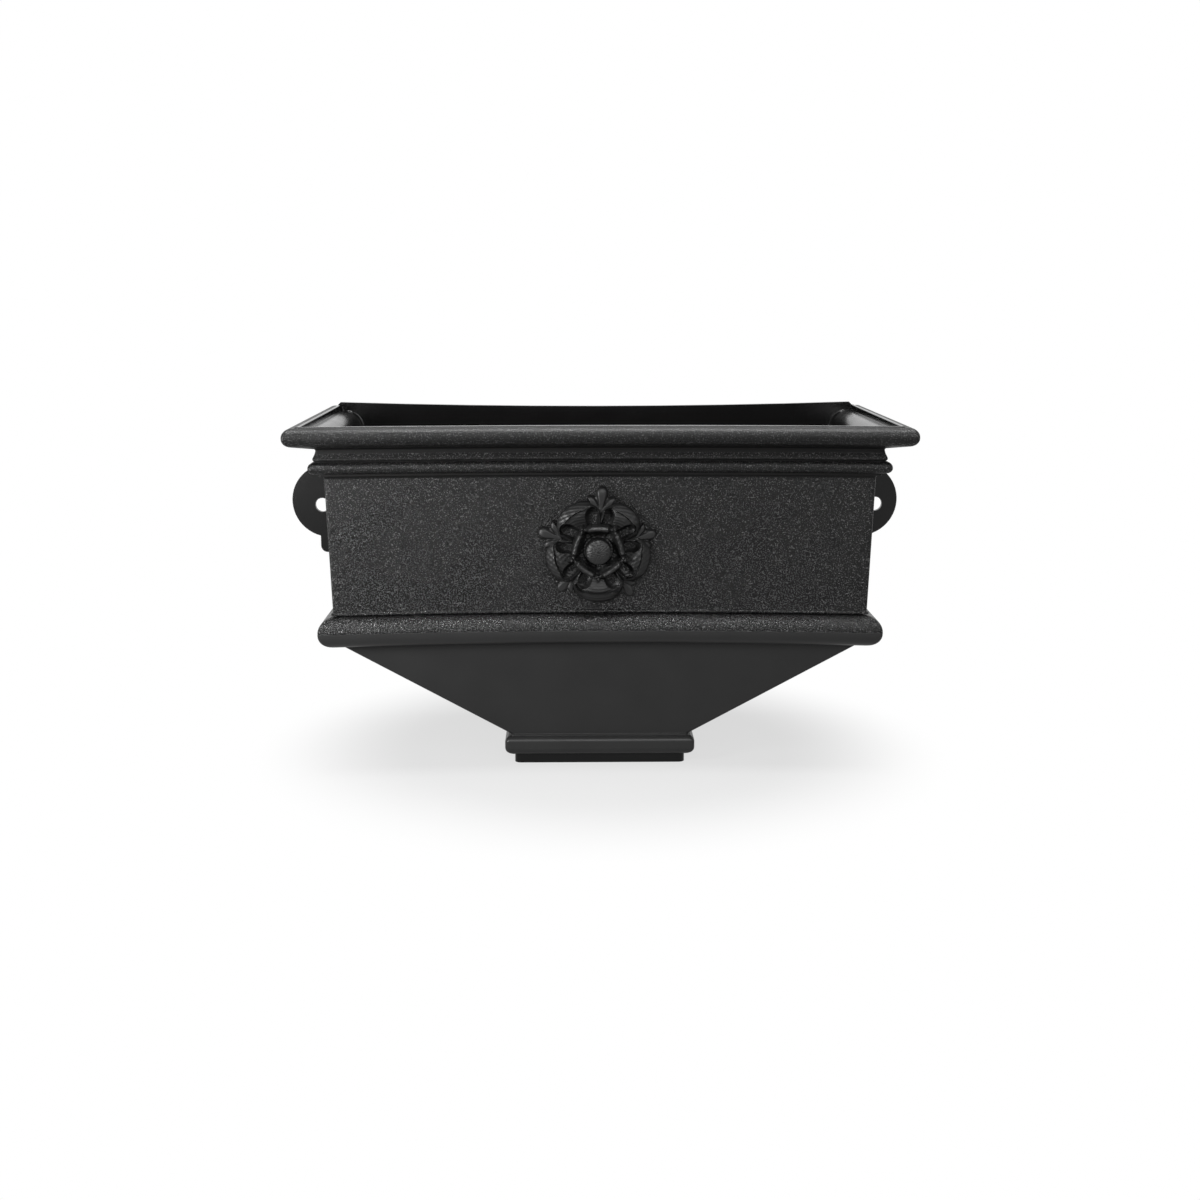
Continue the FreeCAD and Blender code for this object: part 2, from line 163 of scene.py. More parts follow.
def shader(name):
    """A new material, its nodes' tree and its Principled shader."""
    material = bpy.data.materials.new(name)
    material.use_nodes = True
    tree = material.node_tree
    return material, tree, tree.nodes["Principled BSDF"]


def add(tree, kind, sockets=None, **settings):
    """A node of a kind with its settings. Each socket gets a value, or a link where it is given one."""
    node = tree.nodes.new(kind)
    for key, value in settings.items():
        setattr(node, key, value)
    for key, value in (sockets or {}).items():
        if isinstance(value, bpy.types.NodeSocket):
            tree.links.new(value, node.inputs[key])
        else:
            node.inputs[key].default_value = value
    return node


def math_node(tree, operation, first, second=0.0, third=0.0):
    """Output of a Math node."""
    return add(tree, "ShaderNodeMath", {0: first, 1: second, 2: third}, operation=operation).outputs[0]


def grey(level):
    """Neutral colour."""
    return (level, level, level, 1)


GRAIN_SHARE = 0.25  # how high a grain stands, beside the uneven ground under it
FLECK_FADE = 0.12  # how far above the fleck level a fleck is quite bright
PATCHES_PER_GRAIN = 0.035


def sand_grain_group():
    """Grain of sand-cast iron: the height of rounded grains on uneven ground, the bright flecks of the
    ground's tops, which are the noise above the fleck level, and large faint patches."""
    group = bpy.data.node_groups.new("sand grain", "ShaderNodeTree")
    for name in ("Grains per metre", "Fleck level"):
        group.interface.new_socket(name, in_out="INPUT", socket_type="NodeSocketFloat")
    for name in ("Height", "Fleck", "Patch"):
        group.interface.new_socket(name, in_out="OUTPUT", socket_type="NodeSocketFloat")
    fine, level = add(group, "NodeGroupInput").outputs[:2]
    place = add(group, "ShaderNodeTexCoord").outputs["Object"]
    rough_ground = {"Vector": place, "Scale": fine, "Detail": 2.0, "Roughness": 0.6}
    ground = add(group, "ShaderNodeTexNoise", rough_ground).outputs[0]
    grains = add(group, "ShaderNodeTexVoronoi", {"Vector": place, "Scale": fine}, feature="F1")
    domes = math_node(group, "SUBTRACT", 1.0, grains.outputs["Distance"])
    height = math_node(group, "MULTIPLY_ADD", domes, GRAIN_SHARE, ground)
    full = math_node(group, "ADD", level, FLECK_FADE)
    to_full = {"Value": ground, "From Min": level, "From Max": full}
    fleck = add(group, "ShaderNodeMapRange", to_full).outputs[0]
    patches = math_node(group, "MULTIPLY", fine, PATCHES_PER_GRAIN)
    patch = add(group, "ShaderNodeTexNoise", {"Vector": place, "Scale": patches, "Detail": 3.0}).outputs[0]
    out = add(group, "NodeGroupOutput")
    for index, value in enumerate((height, fleck, patch)):
        group.links.new(value, out.inputs[index])
    return group


sand_grain = sand_grain_group()

GRAINS_PER_METRE = 1500.0
FLECK_LEVEL = 0.553  # noise level above which the grain's tops are bright
PATCH_SPREAD = 0.14  # how much the roughness changes from patch to patch
COVER_ROUGHNESS = 0.3  # how much rougher the finish is where the grain is quite covered


def cast_finish(name, dark, bright, roughness, relief):
    """Black plastic with the grain of sand-cast iron, whose tops shine like bare metal of the bright level.
    Where the grain's attribute is 0, the grain and its bright flecks fade out and the finish is darker and
    matt:
    partly a smoother mould, partly painted shade in the coves."""
    material, tree, plastic = shader(name)
    plastic.inputs["Specular IOR Level"].default_value = 0.24
    grain = add(tree, "ShaderNodeGroup", node_tree=sand_grain)
    grain.inputs["Grains per metre"].default_value = GRAINS_PER_METRE
    grain.inputs["Fleck level"].default_value = FLECK_LEVEL
    grain_unsmoothed_unshaded = add(tree, "ShaderNodeAttribute", attribute_name="grain_unsmoothed_unshaded").outputs["Fac"]
    fleck = math_node(tree, "MULTIPLY", grain.outputs["Fleck"], grain_unsmoothed_unshaded)
    tree.links.new(fleck, plastic.inputs["Metallic"])
    colour = add(tree, "ShaderNodeMix", {"Factor": fleck}, data_type="RGBA")
    colour.inputs["A"].default_value = grey(dark)
    colour.inputs["B"].default_value = grey(bright)
    tree.links.new(colour.outputs["Result"], plastic.inputs["Base Color"])
    most = roughness - PATCH_SPREAD / 2 + COVER_ROUGHNESS  # before the patches are added
    least = math_node(tree, "MULTIPLY_ADD", grain_unsmoothed_unshaded, -COVER_ROUGHNESS, most)
    rough = math_node(tree, "MULTIPLY_ADD", grain.outputs["Patch"], PATCH_SPREAD, least)
    tree.links.new(rough, plastic.inputs["Roughness"])
    height = math_node(tree, "MULTIPLY", grain.outputs["Height"], grain_unsmoothed_unshaded)
    bump = add(tree, "ShaderNodeBump", {"Height": height, "Strength": 1.0, "Distance": relief})
    tree.links.new(bump.outputs["Normal"], plastic.inputs["Normal"])
    return material


FLOW_PER_METRE = 42.0
FLOW_SPREAD = 0.1  # how much the roughness changes along the flow marks
PEEL_PER_METRE = 900.0
PEEL_HEIGHT = 0.05 * MM


def gloss_finish(name, dark, roughness, shine=0.32):
    """Smooth black plastic with faint flow marks and the orange peel of a polished mould."""
    material, tree, plastic = shader(name)
    plastic.inputs["Specular IOR Level"].default_value = shine
    place = add(tree, "ShaderNodeTexCoord").outputs["Object"]
    long_marks = {"Vector": place, "Scale": FLOW_PER_METRE, "Detail": 3.0}
    flow = add(tree, "ShaderNodeTexNoise", long_marks).outputs[0]
    fine_waves = {"Vector": place, "Scale": PEEL_PER_METRE, "Detail": 2.0}
    orange_peel = add(tree, "ShaderNodeTexNoise", fine_waves).outputs[0]
    colour = add(tree, "ShaderNodeMix", {"Factor": flow}, data_type="RGBA")
    colour.inputs["A"].default_value = grey(0.8 * dark)
    colour.inputs["B"].default_value = grey(1.2 * dark)
    tree.links.new(colour.outputs["Result"], plastic.inputs["Base Color"])
    rough = math_node(tree, "MULTIPLY_ADD", flow, FLOW_SPREAD, roughness - FLOW_SPREAD / 2)
    tree.links.new(rough, plastic.inputs["Roughness"])
    bump = add(tree, "ShaderNodeBump", {"Height": orange_peel, "Strength": 0.35, "Distance": PEEL_HEIGHT})
    tree.links.new(bump.outputs["Normal"], plastic.inputs["Normal"])
    return material


cast_outside = cast_finish("cast finish", dark=0.005, bright=0.14, roughness=0.26, relief=0.4 * MM)
gloss_inside = gloss_finish("gloss inside", dark=0.003, roughness=0.16)

ARC_STEPS = 11
BOND_FILLET = 1.5 * MM
box_corners = BOX_INSIDE + BOX_LIP + BOX_RIM + BOX_UPPER_BEAD + BOX_LOWER_BEAD + BOX_FACE + BOX_ROLL
box_outline = rounded_outline(box_corners, ARC_STEPS) * MM
box_setback, box_height = box_outline[:, 0], box_outline[:, 1]
box_front = FRONT_MIDDLE + box_setback
box_plan = half_plan(RIM_HALF - box_setback, box_front, BOW_RADIUS + box_setback, BACK, CORNER_ROUND, 0.0)
# The bond fills the inner corner between each side and the plate with a quarter-circle fillet.
on_inside = np.arange(len(box_setback)) < ARC_STEPS * len(BOX_INSIDE)
quarter = np.linspace(0, math.pi / 2, 6)[:-1]
rounded_x = box_plan[:, SIDE_START, :1] + BOND_FILLET * np.outer(on_inside, 1 - np.sin(quarter))
rounded_y = BACK - BOND_FILLET * (1 - np.cos(quarter)) + 0 * rounded_x
box_plan = np.concatenate([np.stack([rounded_x, rounded_y], -1), box_plan[:, SIDE_START + 1 :]], 1)
box_points = raised(both_halves(box_plan), box_height)
box_levels, box_stations = box_points.shape[:2]
box_quads = grid_faces(box_levels, box_stations, True, False)
left_end = np.arange(box_levels) * box_stations
right_end = left_end[::-1] + box_stations - 1
gloss_levels = ARC_STEPS * (len(BOX_INSIDE) + 2)  # the inside and the top of the lip
box_finish = np.repeat(np.arange(box_levels) < gloss_levels, box_stations - 1).astype(int)
hopper_box = add_piece("hopper_box_moulding", box_points, box_quads, (left_end, right_end), box_finish)

# Where the grain fades, in millimetres: its bright flecks go, which darkens the finish, and it turns matt.
# In the coves under the rim, between the beads and under the lower bead, this darkening is painted shade as
# well as a smoother finish. Each cove has a lowest and highest point, and a setback beyond which it starts.
# The rim is rubbed smoother than the face. The lower bead has fewer flecks too, partly a smoother finish
# and partly painted shade.
SHADED_COVES = [(174.4, 180.5, 3.5), (169.4, 171.6, 12.6), (161.2, 164.4, 12.5)]
COVE_FADE = 0.6
RIM_FOOT = 181.0
RIM_COVER = 0.55
LOWER_BEAD_MIDDLE = 166.7
LOWER_BEAD_HALF = 3.0
LOWER_BEAD_SMOOTHING_AND_SHADE = 0.2
height, setback = box_height / MM, box_setback / MM
smoothing_and_shade = np.zeros(box_levels)
for low, high, depth in SHADED_COVES:
    in_cove = np.clip(np.minimum(height - low, high - height) / COVE_FADE + 1, 0, 1)
    smoothing_and_shade = np.maximum(smoothing_and_shade, in_cove * np.clip(setback - depth, 0, 1))
smoothing_and_shade = np.where(height > RIM_FOOT, RIM_COVER, smoothing_and_shade)
on_lower_bead = np.abs(height - LOWER_BEAD_MIDDLE) < LOWER_BEAD_HALF
smoothing_and_shade = np.where(on_lower_bead, np.maximum(smoothing_and_shade, LOWER_BEAD_SMOOTHING_AND_SHADE), smoothing_and_shade)
# The grain left on the box: less where it is smoothed, and less in the coves, where that is painted shade.
grain_unsmoothed_unshaded = hopper_box.data.attributes.new("grain_unsmoothed_unshaded", "FLOAT", "POINT")
grain_unsmoothed_unshaded.data.foreach_set("value", np.repeat(1 - smoothing_and_shade, box_stations).astype(np.float32))
hopper_box.data.materials.append(cast_outside)
hopper_box.data.materials.append(gloss_inside)
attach(hopper_box, "root")
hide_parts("hopper_box")


# Funnel moulding. The real piece is one smooth black injection moulding, bonded to the box along the
# widest line of the roll. Its four walls lean in to a short neck, and below that a bead runs round the
# collar for the outlet.

SHOULDER_HEIGHT = 70.7 * MM
NECK_HEIGHT = 17.0 * MM
SHOULDER_HALF = 136.1 * MM
NECK_HALF = 49.0 * MM
NECK_DEPTH_HALF = 36.2 * MM
SHOULDER_FRONT = -51.6 * MM
LEAST_SAG = 0.01 * MM  # keeps the flat front of the neck an arc, of a very long radius
NECK_ROUND_FRONT = 2.2 * MM
NECK_ROUND_BACK = 2.0 * MM
SHOULDER_ROUND_FRONT = 1.3 * MM

# Corners of the side's profile: half width, height, and radius, in millimetres.
FUNNEL_ROLL = [(147.3, 80.2, 0.12), (147.3, 72.4, 7.7), (136.4, 71.7, 0.9)]
FUNNEL_NECK = [(49.0, 17.0, 0.8), (49.0, 15.9, 0.2)]
FUNNEL_COLLAR = [(51.9, 15.7, 3.2), (51.9, 5.4, 4.2), (46.9, 5.4, 0.3)]
FUNNEL_SOCKET = [(46.9, 14.6, 0.3), (45.4, 15.0, 0.3)]
FUNNEL_INSIDE = [(45.4, 18.0, 1.0), (133.1, 71.6, 2.0), (136.7, 80.2, 0.2)]


def between(start, end, share):
    """The value at a share of the way from start to end: start plus their difference times the share."""
    return start + (end - start) * share


satin_funnel = gloss_finish("satin funnel", dark=0.021, roughness=0.36)
funnel_corners = FUNNEL_ROLL + FUNNEL_NECK + FUNNEL_COLLAR + FUNNEL_SOCKET + FUNNEL_INSIDE
funnel_outline = rounded_outline(funnel_corners, ARC_STEPS) * MM
funnel_half, funnel_height = funnel_outline[:, 0], funnel_outline[:, 1]
# The front's plan is straight at the neck and bows with the box's front at the shoulder. Each level's bow
# is the arc through both corners and the middle: its radius is half width squared plus sag squared, over
# twice the sag.
share = np.clip((funnel_height - NECK_HEIGHT) / (SHOULDER_HEIGHT - NECK_HEIGHT), 0, 1)
beyond = funnel_half - between(NECK_HALF, SHOULDER_HALF, share)
bow_radius = RIM_HALF + BOW_RADIUS - funnel_half
full_sag = bow_radius - np.sqrt(bow_radius**2 - funnel_half**2)
sag = np.maximum(full_sag * share, LEAST_SAG)
level_bow = (funnel_half**2 + sag**2) / (2 * sag)
middle_front = between(-NECK_DEPTH_HALF, SHOULDER_FRONT, share) - beyond
level_back = np.minimum(between(NECK_DEPTH_HALF, BACK, share) + beyond, BACK)
front_round = between(NECK_ROUND_FRONT, SHOULDER_ROUND_FRONT, share)
back_round = NECK_ROUND_BACK * (1 - share)
funnel_plan = half_plan(funnel_half, middle_front, level_bow, level_back, front_round, back_round)
funnel_ring = both_halves(funnel_plan)[:, :-1]
funnel_points = raised(funnel_ring, funnel_height)
funnel_quads = grid_faces(funnel_points.shape[0], funnel_points.shape[1], True, True)
funnel = add_piece("funnel_moulding", funnel_points, funnel_quads)
funnel.data.materials.append(satin_funnel)
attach(funnel, "root")
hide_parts("funnel_base")


# Back plate. The real piece is a flat 3 mm plate of glossy black plastic, bonded over the open back of
# the box, with a round lug and a hole for a wall screw on each side. The CAD's plate stays and gets this
# finish.

plate_gloss = gloss_finish("plate gloss", dark=0.005, roughness=0.16)
cad["back_plate"].data.materials.clear()
cad["back_plate"].data.materials.append(plate_gloss)


# Outlet spigot. The real piece is a short rectangular tube of smooth black plastic that is let into the
# collar and enters the downpipe. The CAD's tube stays and gets this finish.

satin_spigot = gloss_finish("satin spigot", dark=0.001, roughness=0.3)
cad["outlet_spigot"].data.materials.clear()
cad["outlet_spigot"].data.materials.append(satin_spigot)


# Rose. The real piece is a smooth black plastic relief, moulded by itself and fixed on the front of the
# box: five petals with rolled bands and open hollows, five small petals round a domed boss, and a leaf in
# each gap. It was carved by hand for its mould, so the gaps between its petals aren't quite even.

ROSE_X = -1.2 * MM
ROSE_HEIGHT = 122.65 * MM
FACE_LEAN = math.atan(2.15 / 71.9)
FIFTH = 72.0  # degrees in a fifth of a turn
GAPS = [-50.0, 21.0, 85.5, 161.0, 230.5, 310.0]
EVEN_GAPS = [-54.0, 18.0, 90.0, 162.0, 234.0, 306.0]
PETAL_AXIS = 126.0
CUP_AXIS = 90.0

# The rose's sizes, in millimetres. Reaches are from its middle, and heights are above the face.
PETAL_REACH = 27.7
PETAL_FALL = 6.6
EDGE_HEIGHT = 3.9
EDGE_DROP = 0.8
BEVEL = 0.5
BEVEL_AT_GAP = 0.3
BAND_WIDTH = 4.5
BAND_WIDTH_AT_GAP = 1.6
BAND_FOOT = 3.0
CREST_HEIGHT = 6.5
CREST_HEIGHT_AT_GAP = 5.5
CREST_FALL_REACH = 19.5
CREST_SLOPE = 0.3  # fall of the crest towards the cup, per millimetre
FAN_HEIGHT = 4.4
FAN_REACH = 20.5
FAN_SLOPE = 0.34  # fall of the fan towards the cup, per millimetre
HOLLOW_ASIDE = 21.5  # degrees from the petal's axis
HOLLOW_REACH = 17.9
HOLLOW_LENGTH = 4.6
HOLLOW_HALF_WIDTH = 3.35
HOLLOW_DEPTH = 0.3
LIP_REACH = 12.0
LIP_FOOT = 5.2
LIP_ROLL = 4.6
LIP_ROLL_AT_END = 2.2
LIP_HALF_WIDTH = 1.75
LIP_HALF_WIDTH_AT_END = 1.0
LIP_FULL_ACROSS = 4.6  # how far to each side the lip keeps its full size
LIP_END_ACROSS = 6.6
BOWL_HEIGHT = 2.2
BOWL_RISE = 2.6
BOWL_SIDE_DROP = 1.2
BOWL_FOOT_REACH = 8.0
BOWL_TOP_REACH = 10.4
KNOB_REACH = 14.6
KNOB_HEIGHT = 9.3
KNOB_HALF_LENGTH = 1.6
KNOB_HALF_WIDTH = 1.45
GROOVE_OUTSIDE = 8.3
GROOVE_INSIDE = 7.6
GROOVE_HEIGHT = 2.0
BOSS_REACH = 6.6
BOSS_DOME_REACH = 6.72
BOSS_FOOT = 8.2
BOSS_DOME = 3.0
CARVING = 0.12  # height of the tool's waves
NOWHERE = -9.0  # a height below all others, for what isn't there


def on_face(local):
    """Rose coordinates (across, up, out, in metres) laid on the bowed, leaning front of the box.

    The origin is on the face at the rose's middle. Up runs along the leaning wall and out is square to
    it. The bow brings the face forward by across squared over twice its radius.
    """
    across, up, out = local[..., 0] + ROSE_X, local[..., 1], local[..., 2]
    face_setback = FACE_TOP_SETBACK * MM + math.tan(FACE_LEAN) * (FACE_TOP_HEIGHT * MM - ROSE_HEIGHT)
    out = out + across**2 / (2 * (BOW_RADIUS + face_setback))
    y = FRONT_MIDDLE + face_setback - up * math.sin(FACE_LEAN) - out * math.cos(FACE_LEAN)
    z = ROSE_HEIGHT + up * math.cos(FACE_LEAN) - out * math.sin(FACE_LEAN)
    return np.stack([across, y, z], -1)


def step(start, end, value):
    """Smooth step from 0 at start to 1 at end: 3 s squared less 2 s cubed, for s the share of the way."""
    s = np.clip((value - start) / (end - start), 0, 1)
    return s * s * (3 - 2 * s)


def dome(share):
    """Quarter-round section: the root of 1 less share squared, and 0 beyond a share of 1."""
    return np.sqrt(np.clip(1 - share**2, 0, 1))


def from_nearest(degrees, first):
    """Degrees from the nearest of five axes, a fifth of a turn apart, of which one stands at `first`."""
    return (degrees - first + FIFTH / 2) % FIFTH - FIFTH / 2


def petal_edge(degrees):
    """Outline of the petals: the full reach in a petal's middle, less a fall times a power of the share
    of the way to the gap. The angle is stretched first, so that the carved gaps fall on even ones."""
    share = np.abs(from_nearest(np.interp(degrees, GAPS, EVEN_GAPS), PETAL_AXIS)) / (FIFTH / 2)
    return PETAL_REACH - PETAL_FALL * share**2.8


def petal_relief(reach, degrees):
    """Height of the outer petals. A rolled band follows the edge, wide in a petal's middle and thin at
    its sides. It climbs from the edge to a crest near its inner side and drops to a fan that spreads from
    the cup. A hollow like an open bowl lies at each side of the fan: its depth is a power of 1 less the
    square of the share of the way to its rim."""
    aside = np.abs(from_nearest(np.interp(degrees, GAPS, EVEN_GAPS), PETAL_AXIS))
    share = aside / (FIFTH / 2)
    to_gap = reach * np.sin(np.radians(FIFTH / 2 - aside))
    from_edge = np.minimum(petal_edge(degrees) - reach, to_gap)
    width = between(BAND_WIDTH, BAND_WIDTH_AT_GAP, step(0.3, 0.75, share))
    crest = between(CREST_HEIGHT, CREST_HEIGHT_AT_GAP, step(0.4, 0.9, share))
    crest = crest - CREST_SLOPE * np.clip(CREST_FALL_REACH - reach, 0, 6)
    bevel = between(BEVEL, BEVEL_AT_GAP, step(0.4, 0.9, share))
    way = np.clip((from_edge - bevel) / width, 0, 1)
    to_crest = 0.84  # the crest's share of the band's width
    climb = between(EDGE_HEIGHT, crest, np.clip(way / to_crest, 0, 1) ** 0.85)
    climb = climb - EDGE_DROP * np.clip(1 - from_edge / bevel, 0, 1) ** 1.6
    band = np.where(way < to_crest, climb, between(crest, BAND_FOOT, step(to_crest, 1.02, way)))
    across = reach * np.sin(np.radians(aside))
    fan = FAN_HEIGHT - FAN_SLOPE * np.clip(FAN_REACH - reach, 0, 9) - 0.03 * across**2
    height = np.where(way < 1, np.maximum(band, np.minimum(fan, BAND_FOOT)), fan)
    along = reach * np.cos(np.radians(aside - HOLLOW_ASIDE)) - HOLLOW_REACH
    beside = reach * np.sin(np.radians(aside - HOLLOW_ASIDE))
    rim_share = np.hypot(beside / HOLLOW_HALF_WIDTH, np.clip(along, 0, None) / HOLLOW_LENGTH)
    depth = np.clip(1 - rim_share**2, 0, 1) ** 0.8
    return between(height, -HOLLOW_DEPTH, depth)


def cup_relief(reach, degrees):
    """Height of the five small petals round the boss. Each has a thick rolled lip across it, a little
    bowed, and is an open bowl that falls from there to the groove. The lip's section is a power of a
    quarter-round to each side. A knob stands outside each joint between two lips."""
    aside = from_nearest(degrees, CUP_AXIS)
    across, along = reach * np.sin(np.radians(aside)), reach * np.cos(np.radians(aside))
    to_end = step(LIP_FULL_ACROSS, LIP_END_ACROSS, np.abs(across))
    lip_at = LIP_REACH - 0.014 * across**2
    half_lip = between(LIP_HALF_WIDTH, LIP_HALF_WIDTH_AT_END, to_end)
    roll = between(LIP_ROLL, LIP_ROLL_AT_END, to_end)
    lip = LIP_FOOT + roll * dome((along - lip_at) / half_lip) ** 0.7
    bowl = BOWL_HEIGHT + BOWL_RISE * step(BOWL_FOOT_REACH, BOWL_TOP_REACH, along)
    bowl = bowl + BOWL_SIDE_DROP * step(0.9, 0.6, np.abs(aside) / (FIFTH / 2))
    height = np.where(np.abs(along - lip_at) < half_lip, lip, bowl)
    height = np.where(along > lip_at + half_lip, NOWHERE, height)
    joint = np.radians(from_nearest(degrees, PETAL_AXIS))
    knob_along = (reach * np.cos(joint) - KNOB_REACH) / KNOB_HALF_LENGTH
    knob = KNOB_HEIGHT * dome(np.hypot(knob_along, reach * np.sin(joint) / KNOB_HALF_WIDTH)) ** 0.6
    return np.maximum(height, np.where(knob > 0, knob, NOWHERE))


def rose_relief(reach, degrees):
    """Height of the whole rose at a reach and angle, in millimetres: the higher of its petals and its
    cup, with a groove and a domed boss inside them, and faint waves as a carver's tool leaves them."""
    height = np.maximum(petal_relief(reach, degrees), cup_relief(reach, degrees))
    height = between(height, GROOVE_HEIGHT, step(GROOVE_OUTSIDE, GROOVE_INSIDE, reach))
    boss = BOSS_FOOT + BOSS_DOME * dome(reach / BOSS_DOME_REACH) ** 0.7
    height = np.where(reach < BOSS_REACH, boss, height)
    turn = np.radians(degrees)
    carving = np.sin(1.9 * reach + 3 * np.sin(5 * turn)) * np.sin(2.3 * reach * np.sin(turn) + 1.0)
    return height + CARVING * carving


satin_rose = gloss_finish("satin rose", dark=0.01, roughness=0.42, shine=0.42)
ROSE_RINGS = 140
ROSE_SPOKES = 600
# Rings of points: round inside and more like the petals' outline further out. The last four are the petals'
# wall, down to the box's face and into it.
spoke = np.linspace(-50, 310, ROSE_SPOKES, endpoint=False)[None, :]
ring = np.linspace(0.01, 1, ROSE_RINGS)[:, None]
reach = ring * (PETAL_REACH + (petal_edge(spoke) - PETAL_REACH) * ring**3)
height = rose_relief(reach, spoke + 0 * reach)
wall_out = np.array([0.0, -0.1, -0.5, -0.8])[:, None]
wall_height = np.array([2.9, 0.6, -0.1, -0.6])[:, None] + 0 * spoke
reach = np.concatenate([reach, petal_edge(spoke) + wall_out])
height = np.concatenate([height, wall_height])
turn = np.radians(spoke)
rose_points = on_face(np.stack([reach * np.cos(turn), reach * np.sin(turn), height], -1) * MM)
rose_quads = grid_faces(rose_points.shape[0], ROSE_SPOKES, False, True)[:, ::-1]
pole = np.arange(ROSE_SPOKES)
underside = pole[::-1] + (rose_points.shape[0] - 1) * ROSE_SPOKES
rose = add_piece("rose_petals", rose_points, rose_quads, (pole, underside), crease=65)
rose.data.materials.append(satin_rose)
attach(rose, "root")
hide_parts("rose_motif")

# Each leaf's direction in degrees, how far its tip reaches from the rose's middle, and its height.
LEAVES = [(86.3, 33.8, 4.4), (162.0, 33.2, 4.2), (16.8, 31.8, 4.0), (226.5, 30.6, 1.6), (306.0, 30.6, 1.7)]
LEAF_FOOT = 20.3
# The leaf's outline about its foot: degrees from its middle, and how far it reaches there. The middle
# prong is the longest, a notch lies at 25 degrees, and the side prong's tip lies at 46.
LEAF_TURNS = [0, 6, 11, 16, 21, 25, 32, 39, 46, 51, 55, 62, 80, 180]
LEAF_REACHES = [13.8, 13.5, 12.7, 11.0, 9.2, 8.8, 9.5, 10.8, 11.2, 9.0, 5.5, 3.0, 1.6, 1.0]
SIDE_PRONG = 44  # degrees from the leaf's middle to the ridge of its side prong
LEAF_EDGE_SHARE = 0.4  # the height of a leaf's edge as a share of its top
LEAF_CREASE_SHARE = 0.3  # the depth of the crease between its prongs, as a share of its top
LEAF_WALL_HEIGHTS = (0.1, -0.5)
LEAF_RINGS = 22
LEAF_SPOKES = 180


def leaf_surface(direction, tip, top):
    """One three-pronged leaf: rings of its outline, drawn in to its foot. The height has a ridge along
    each prong and a crease between them, and is rounded at the edge like the root of 1 less the share to
    the seventh power. The last two rings are its wall, down to the box's face and into it."""
    turn = np.linspace(-180, 180, LEAF_SPOKES, endpoint=False)[None, :]
    share = np.concatenate([np.linspace(0.03, 1, LEAF_RINGS), [1.0, 1.0]])[:, None]
    size = (tip - LEAF_FOOT) / LEAF_REACHES[0]
    outline = np.interp(np.abs(turn), LEAF_TURNS, LEAF_REACHES) * size
    along = LEAF_FOOT + outline * share * np.cos(np.radians(turn))
    across = outline * share * np.sin(np.radians(turn))
    from_ridge = np.minimum(np.abs(turn), np.abs(np.abs(turn) - SIDE_PRONG))
    crease = LEAF_CREASE_SHARE * step(10, 22, from_ridge) * step(0.15, 0.6, share)
    ridge = top * (1 - crease)
    out = between(LEAF_EDGE_SHARE * top, ridge, np.sqrt(np.clip(1 - share**7, 0, 1)))
    out[-2:] = np.array(LEAF_WALL_HEIGHTS)[:, None]
    cos, sin = math.cos(math.radians(direction)), math.sin(math.radians(direction))
    return np.stack([along * cos - across * sin, along * sin + across * cos, out], -1)


leaf_points = np.array([leaf_surface(*leaf) for leaf in LEAVES])
leaf_levels = leaf_points.shape[1]
leaf_size = leaf_levels * LEAF_SPOKES
starts = np.arange(len(LEAVES))[:, None] * leaf_size
one_leaf = grid_faces(leaf_levels, LEAF_SPOKES, False, True)[:, ::-1]
leaf_quads = (one_leaf[None] + starts[..., None]).reshape(-1, 4)
first_ring = (starts + np.arange(LEAF_SPOKES)).tolist()
last_ring = (starts + np.arange(LEAF_SPOKES)[::-1] + leaf_size - LEAF_SPOKES).tolist()
leaves = add_piece("rose_leaves", on_face(leaf_points * MM), leaf_quads, first_ring + last_ring, crease=50)
leaves.data.materials.append(satin_rose)
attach(leaves, "root")
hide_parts("rose_motif")


# Floor and light. The object stands on a white floor that runs on into a white background, under soft
# lamps: a small one near its left end, one in front, one at the right, a small one high in front, and one
# overhead.


def studio_strength(tree, level, front):
    """Strength of the world: 1 to the camera, and `level` as light. In reflections it is 1 behind the
    object, where the white background is, and `front` on its front's side, where the room is dark between
    the lamps."""
    path = add(tree, "ShaderNodeLightPath").outputs
    direction = add(tree, "ShaderNodeTexCoord").outputs["Generated"]
    away = add(tree, "ShaderNodeSeparateXYZ", {0: direction}).outputs["Y"]
    from_dark = {"Value": away, "From Min": -0.4, "From Max": 0.1, "To Min": front}
    behind = add(tree, "ShaderNodeMapRange", from_dark).outputs[0]
    seen = math_node(tree, "MAXIMUM", path["Is Camera Ray"], path["Is Transmission Ray"])
    mirrored = math_node(tree, "SUBTRACT", behind, level)
    strength = math_node(tree, "MULTIPLY_ADD", path["Is Glossy Ray"], mirrored, level)
    return math_node(tree, "MAXIMUM", strength, seen)


# The floor shines by itself, to be as white as the background. Near the outlet it shines less, which is a
# painted shadow round the outlet, and has some paint, which takes the lamps' light and the object's shadow.
FLOOR_HALF = 4.0
SHADOW_REACH = 0.1  # within this distance of the outlet's axis the floor takes the shadow in full
WHITE_REACH = 0.2  # beyond this distance it is plain white
FLOOR_GLOW_IN_PAINTED_SHADOW = 0.68  # how much of white it shines near the outlet
FLOOR_PAINT = 0.09
FLOOR_MIRRORED = 0.65  # how much of that shows in the object's reflections
floor_mesh = bpy.data.meshes.new("floor")
corner_signs = np.array([(-1, -1, 0), (1, -1, 0), (1, 1, 0), (-1, 1, 0)])
floor_mesh.from_pydata((corner_signs * FLOOR_HALF).tolist(), [], [(0, 1, 2, 3)])
floor = bpy.data.objects.new("floor", floor_mesh)
bpy.context.scene.collection.objects.link(floor)
floor_paint, floor_tree, floor_shader = shader("white floor")
floor_shader.inputs["Roughness"].default_value = 0.9
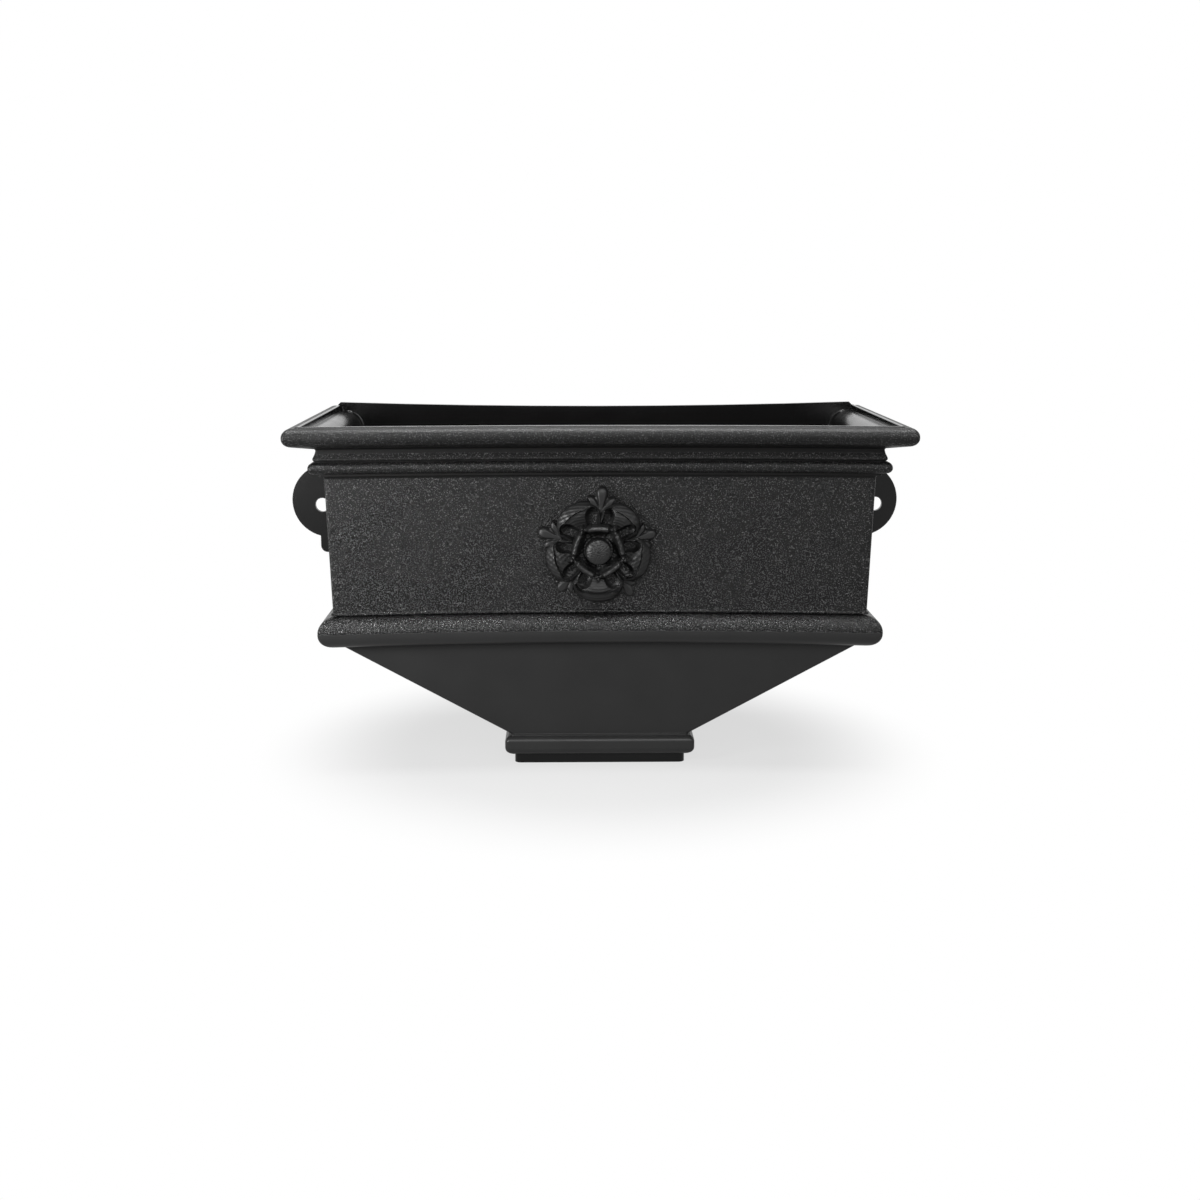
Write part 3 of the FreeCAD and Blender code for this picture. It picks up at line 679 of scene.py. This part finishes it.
floor_shader.inputs["Specular IOR Level"].default_value = 0.0
floor_shader.inputs["Emission Color"].default_value = grey(1.0)
floor_place = add(floor_tree, "ShaderNodeTexCoord").outputs["Object"]
floor_reach = add(floor_tree, "ShaderNodeVectorMath", {0: floor_place}, operation="LENGTH").outputs["Value"]
to_white = {"Value": floor_reach, "From Min": SHADOW_REACH, "From Max": WHITE_REACH}
far = add(floor_tree, "ShaderNodeMapRange", to_white, interpolation_type="SMOOTHSTEP").outputs[0]
paint = add(floor_tree, "ShaderNodeMix", {"Factor": far}, data_type="RGBA")
paint.inputs["A"].default_value = grey(FLOOR_PAINT)
paint.inputs["B"].default_value = grey(0.0)
floor_tree.links.new(paint.outputs["Result"], floor_shader.inputs["Base Color"])
# Painted shadow: near the outlet the floor's own glow is lower, whatever the lamps do.
painted_shadow_glow = math_node(floor_tree, "MULTIPLY_ADD", far, 1.0 - FLOOR_GLOW_IN_PAINTED_SHADOW, FLOOR_GLOW_IN_PAINTED_SHADOW)
floor_path = add(floor_tree, "ShaderNodeLightPath").outputs
floor_mirrored = math_node(floor_tree, "MULTIPLY", floor_path["Is Glossy Ray"], FLOOR_MIRRORED)
floor_seen = math_node(floor_tree, "MAXIMUM", floor_path["Is Camera Ray"], floor_mirrored)
floor_strength = math_node(floor_tree, "MULTIPLY", floor_seen, painted_shadow_glow)
floor_tree.links.new(floor_strength, floor_shader.inputs["Emission Strength"])
floor.data.materials.append(floor_paint)

WORLD_LIGHT = 0.15
WORLD_FRONT = 0.15
world = bpy.data.worlds.new("white studio")
bpy.context.scene.world = world
world.use_nodes = True
background = world.node_tree.nodes["Background"]
background.inputs["Color"].default_value = grey(1.0)
world_strength = studio_strength(world.node_tree, WORLD_LIGHT, WORLD_FRONT)
world.node_tree.links.new(world_strength, background.inputs["Strength"])


def soft_lamp(name, place, aim, size, power):
    """Square area lamp at a place, facing the point it aims at."""
    light = bpy.data.lights.new(name, "AREA")
    light.shape = "SQUARE"
    light.size = size
    light.energy = power
    lamp = bpy.data.objects.new(name, light)
    lamp.location = place
    lamp.rotation_euler = (Vector(aim) - Vector(place)).to_track_quat("-Z", "Y").to_euler()
    bpy.context.scene.collection.objects.link(lamp)


ROSE_LEVEL = (0, 0, 0.12)
soft_lamp("near left softbox", (-0.305, -0.3, 0.19), (-0.04, -0.05, 0.12), size=0.12, power=1.5)
soft_lamp("front softbox", (0.1, -1.25, 0.75), ROSE_LEVEL, size=0.6, power=6.9)
soft_lamp("right softbox", (1.2, -1.2, 0.9), ROSE_LEVEL, size=0.8, power=5)
soft_lamp("top softbox", (0.0, -0.33, 1.3), ROSE_LEVEL, size=0.3, power=13)
soft_lamp("overhead softbox", (0.0, 0.05, 1.4), (0, 0.05, 0.1), size=0.6, power=10)


# Camera. It stands 0.9 m in front of the outlet's axis, a little left of it, and looks down by 11 degrees
# and a little to the right.

CAMERA_LEFT = 14.62 * MM
CAMERA_AWAY = 901.18 * MM
CAMERA_HEIGHT = 259.82 * MM
LOOK_DOWN = math.radians(11.005)
LOOK_RIGHT = math.radians(0.975)
camera_data = bpy.data.cameras.new("camera")
camera_data.sensor_width = 36.0
camera_data.lens = 48.99
camera = bpy.data.objects.new("camera", camera_data)
camera.location = (-CAMERA_LEFT, -CAMERA_AWAY, CAMERA_HEIGHT)
camera.rotation_euler = (math.pi / 2 - LOOK_DOWN, 0, -LOOK_RIGHT)
bpy.context.scene.collection.objects.link(camera)
bpy.context.scene.camera = camera
bpy.context.scene.view_settings.view_transform = "Standard"
